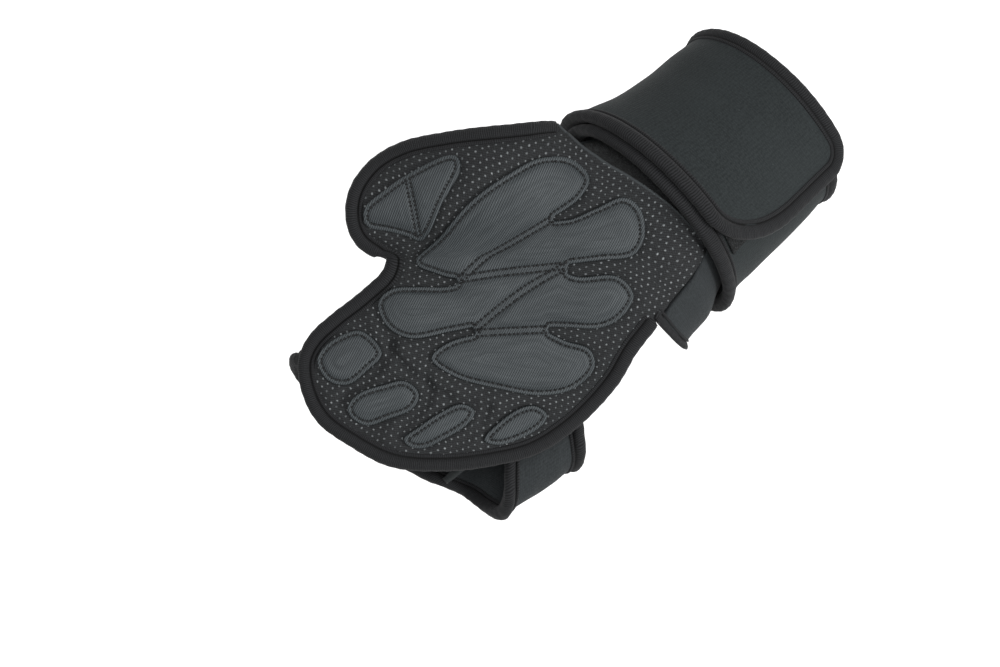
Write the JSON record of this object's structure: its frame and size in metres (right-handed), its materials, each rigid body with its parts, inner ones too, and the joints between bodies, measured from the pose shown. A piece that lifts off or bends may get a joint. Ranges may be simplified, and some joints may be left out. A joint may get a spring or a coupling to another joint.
{
  "type": "weightlifting glove",
  "caption": "Right-hand padded weightlifting glove, open at the back, with grip patches on the palm, a finger band, a thumb loop and a wrist wrap.",
  "frame": {"origin": "middle of the wrist opening, where the hand meets the wrist wrap", "axes": "+X towards the thumb side, +Y towards the fingers, +Z out of the palm; the wrist wrap tilts back and down by 22 degrees"},
  "size_m": [0.1101, 0.1756, 0.0705],
  "materials": {
    "palm_knit": "black padded knit with small glossy grip dots",
    "rib": "dark grey ribbed edge binding",
    "grip": "grey fine woven grip cloth with black stitching",
    "neoprene": "dark grey cloth-faced foam, matt",
    "loop_cloth": "black brushed loop cloth"
  },
  "bodies": {
    "root": {"palm_panel": "palm_knit", "palm_binding": "rib", "grip_patch": "grip", "thumb_patch": "grip", "index_pad": "grip", "middle_pad": "grip", "ring_pad": "grip", "little_pad": "grip", "loop_panel": "loop_cloth", "back_cuff": "neoprene", "cuff_hem": "rib", "wrist_strap": "neoprene", "strap_binding": "rib", "finger_band": "neoprene", "finger_band_front_binding": "rib", "finger_band_rear_binding": "rib", "thumb_loop": "neoprene", "thumb_loop_front_binding": "rib", "thumb_loop_rear_binding": "rib", "divider_index": "neoprene", "divider_middle": "neoprene", "divider_ring": "neoprene", "strap_loop_patch": "loop_cloth"}
  },
  "joints": []
}
